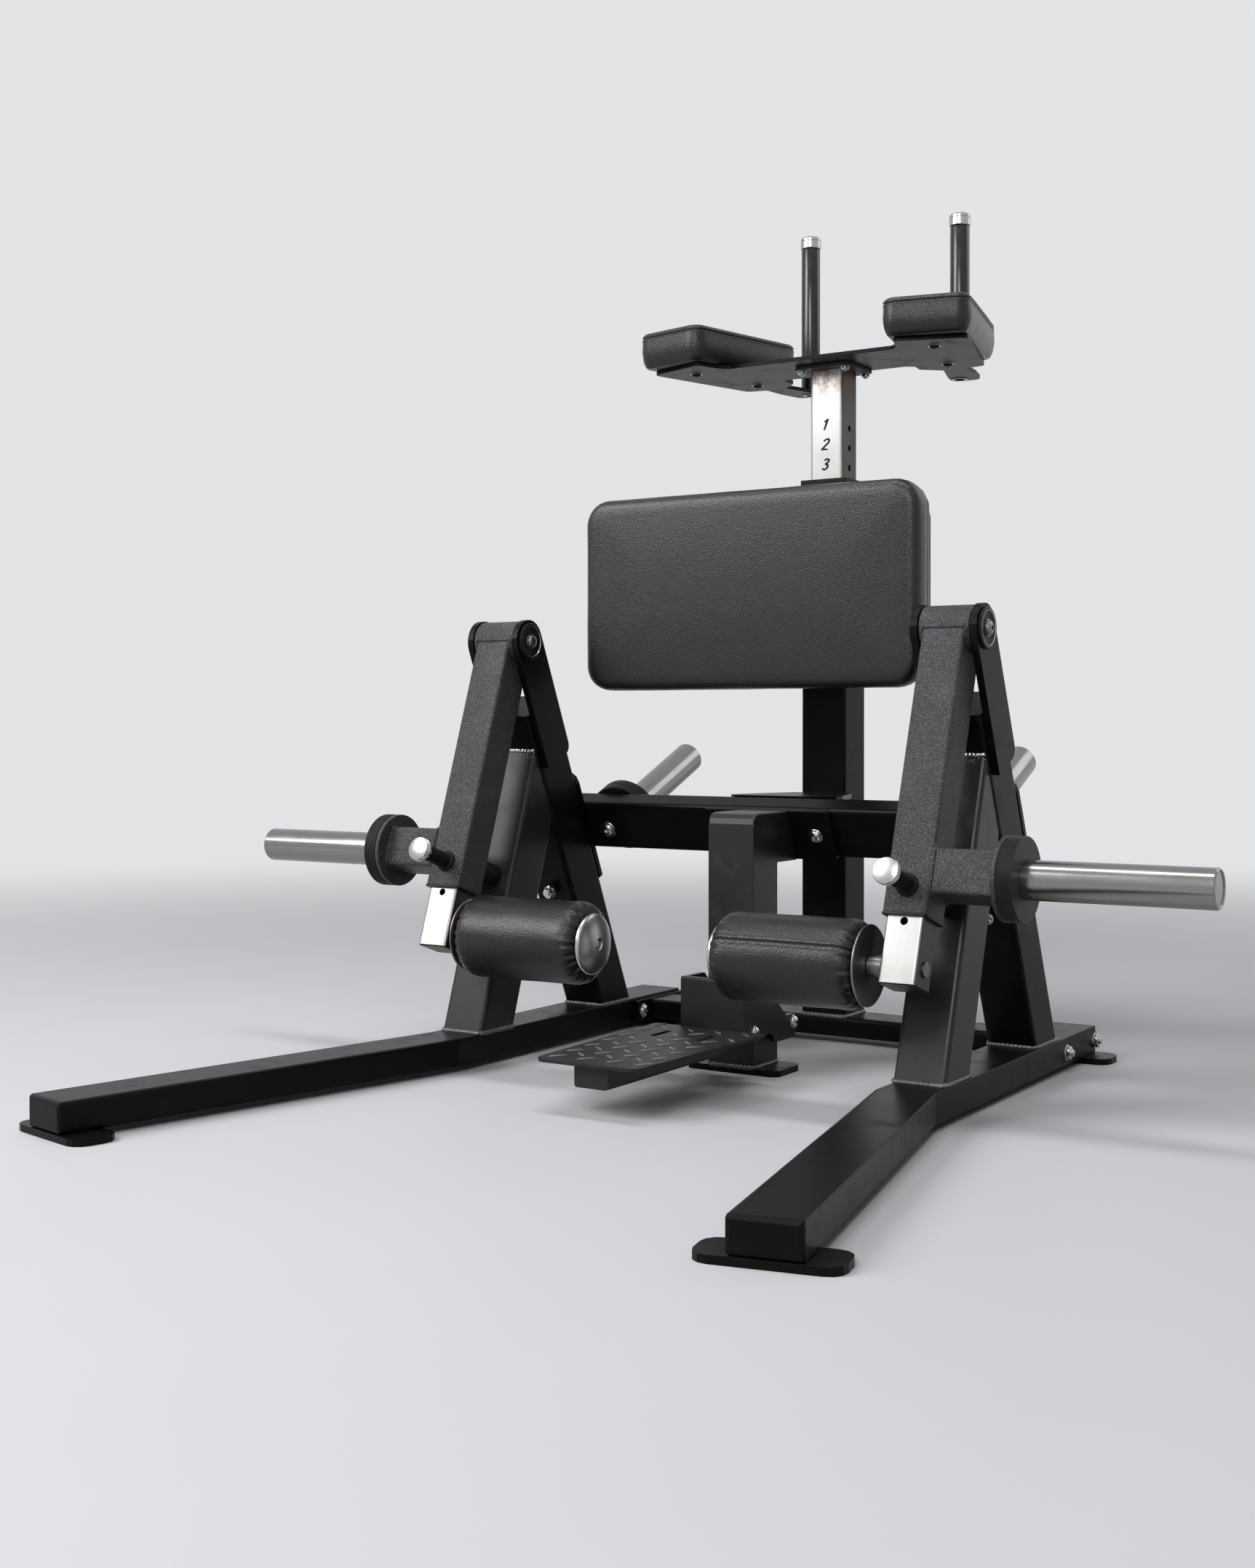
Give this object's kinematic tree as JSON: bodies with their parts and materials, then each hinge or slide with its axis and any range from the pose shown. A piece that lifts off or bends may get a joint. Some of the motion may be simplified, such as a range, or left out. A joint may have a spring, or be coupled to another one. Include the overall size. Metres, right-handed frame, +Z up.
{
  "type": "standing hamstring machine",
  "caption": "Plate-loaded standing leg curl with swinging roller arms on A-frames, a thigh pad, elbow pads on a sliding post and a tread.",
  "frame": {"origin": "on the floor under the middle of the centre post's base plate", "axes": "+Z up, +Y the way the person faces, towards the mast, +X to the person's right"},
  "size_m": [1.4826, 1.3802, 1.347],
  "materials": {
    "satin_black": "satin black powder coat on the fixed frame",
    "wrinkle_black": "fine wrinkle black powder coat on the arms and front legs",
    "brushed_stainless": "brushed stainless tube, grain along its length",
    "polished_steel": "polished turned steel",
    "aluminium": "turned and knurled aluminium",
    "rubber": "matt black rubber",
    "plastic": "moulded black plastic",
    "leather": "black leatherette with a fine grain",
    "foam_grip": "black foam grip"
  },
  "bodies": {
    "frame": {"base_crossbar": "satin_black", "base_rail_L": "satin_black", "base_rail_R": "satin_black", "centre_flange": "satin_black", "centre_post": "satin_black", "crossbeam": "satin_black", "foot_bracket": "satin_black", "foot_plate_front_L": "satin_black", "foot_plate_front_R": "satin_black", "foot_plate_rear_L": "satin_black", "foot_plate_rear_R": "satin_black", "leg_plate_L": "satin_black", "leg_plate_R": "satin_black", "mast": "satin_black", "pad_bracket": "satin_black", "pivot_ear_inner_L": "satin_black", "pivot_ear_inner_R": "satin_black", "pivot_ear_outer_L": "satin_black", "pivot_ear_outer_R": "satin_black", "post_base_plate": "satin_black", "rear_leg_L": "satin_black", "rear_leg_R": "satin_black", "tread_plate": "satin_black", "front_leg_L": "wrinkle_black", "front_leg_R": "wrinkle_black", "pivot_axle_L": "brushed_stainless", "pivot_axle_R": "brushed_stainless", "storage_horn_L": "brushed_stainless", "storage_horn_R": "brushed_stainless", "arm_stop_L": "rubber", "arm_stop_R": "rubber", "mast_collar": "plastic", "mast_pin_housing": "plastic", "pad_board": "plastic", "thigh_pad": "leather"},
    "left_arm": {"swing_arm_L": "wrinkle_black", "horn_flange_L": "rubber", "weight_horn_L": "brushed_stainless", "pin_housing_L": "plastic"},
    "left_insert": {"height_insert_L": "brushed_stainless", "roller_spindle_L": "brushed_stainless"},
    "left_roller": {"roller_core_L": "polished_steel", "roller_pad_L": "leather"},
    "left_pin": {"pin_plunger_L": "aluminium"},
    "right_arm": {"swing_arm_R": "wrinkle_black", "horn_flange_R": "rubber", "weight_horn_R": "brushed_stainless", "pin_housing_R": "plastic"},
    "right_insert": {"height_insert_R": "brushed_stainless", "roller_spindle_R": "brushed_stainless"},
    "right_roller": {"roller_core_R": "polished_steel", "roller_pad_R": "leather"},
    "right_pin": {"pin_plunger_R": "aluminium"},
    "arm_rest": {"telescoping_post": "brushed_stainless", "arm_plate": "satin_black", "elbow_pad_L": "leather", "elbow_pad_R": "leather", "handle_L": "foam_grip", "handle_R": "foam_grip"},
    "mast_pin": {"mast_pin_plunger": "aluminium"}
  },
  "joints": [
    {"name": "left_swing", "type": "hinge", "parent": "frame", "child": "left_arm", "pos_m": [-0.3655, -0.0925, 0.632], "axis": [-1, 0, 0], "range_deg": [0, 115]},
    {"name": "left_roller_height", "type": "slide", "parent": "left_arm", "child": "left_insert", "axis": [0, -0.3256, -0.9455], "range_m": [-0.045, 0.045]},
    {"name": "left_roller_spin", "type": "hinge", "parent": "left_insert", "child": "left_roller", "pos_m": [-0.3655, -0.24096, 0.20084], "axis": [1, 0, 0], "continuous": true},
    {"name": "left_pin_pull", "type": "slide", "parent": "left_arm", "child": "left_pin", "axis": [0, -0.9455, 0.3256], "range_m": [0, 0.012], "stiffness_N_per_m": 900, "springref_m": -0.006},
    {"name": "right_swing", "type": "hinge", "parent": "frame", "child": "right_arm", "pos_m": [0.3655, -0.0925, 0.632], "axis": [-1, 0, 0], "range_deg": [0, 115]},
    {"name": "right_roller_height", "type": "slide", "parent": "right_arm", "child": "right_insert", "axis": [0, -0.3256, -0.9455], "range_m": [-0.045, 0.045]},
    {"name": "right_roller_spin", "type": "hinge", "parent": "right_insert", "child": "right_roller", "pos_m": [0.3655, -0.24096, 0.20084], "axis": [1, 0, 0], "continuous": true},
    {"name": "right_pin_pull", "type": "slide", "parent": "right_arm", "child": "right_pin", "axis": [0, -0.9455, 0.3256], "range_m": [0, 0.012], "stiffness_N_per_m": 900, "springref_m": -0.006},
    {"name": "arm_rest_height", "type": "slide", "parent": "frame", "child": "arm_rest", "axis": [0, 0, 1], "range_m": [-0.126, 0.1575]},
    {"name": "mast_pin_pull", "type": "slide", "parent": "frame", "child": "mast_pin", "axis": [1, 0, 0], "range_m": [0, 0.012], "stiffness_N_per_m": 900, "springref_m": -0.006}
  ]
}
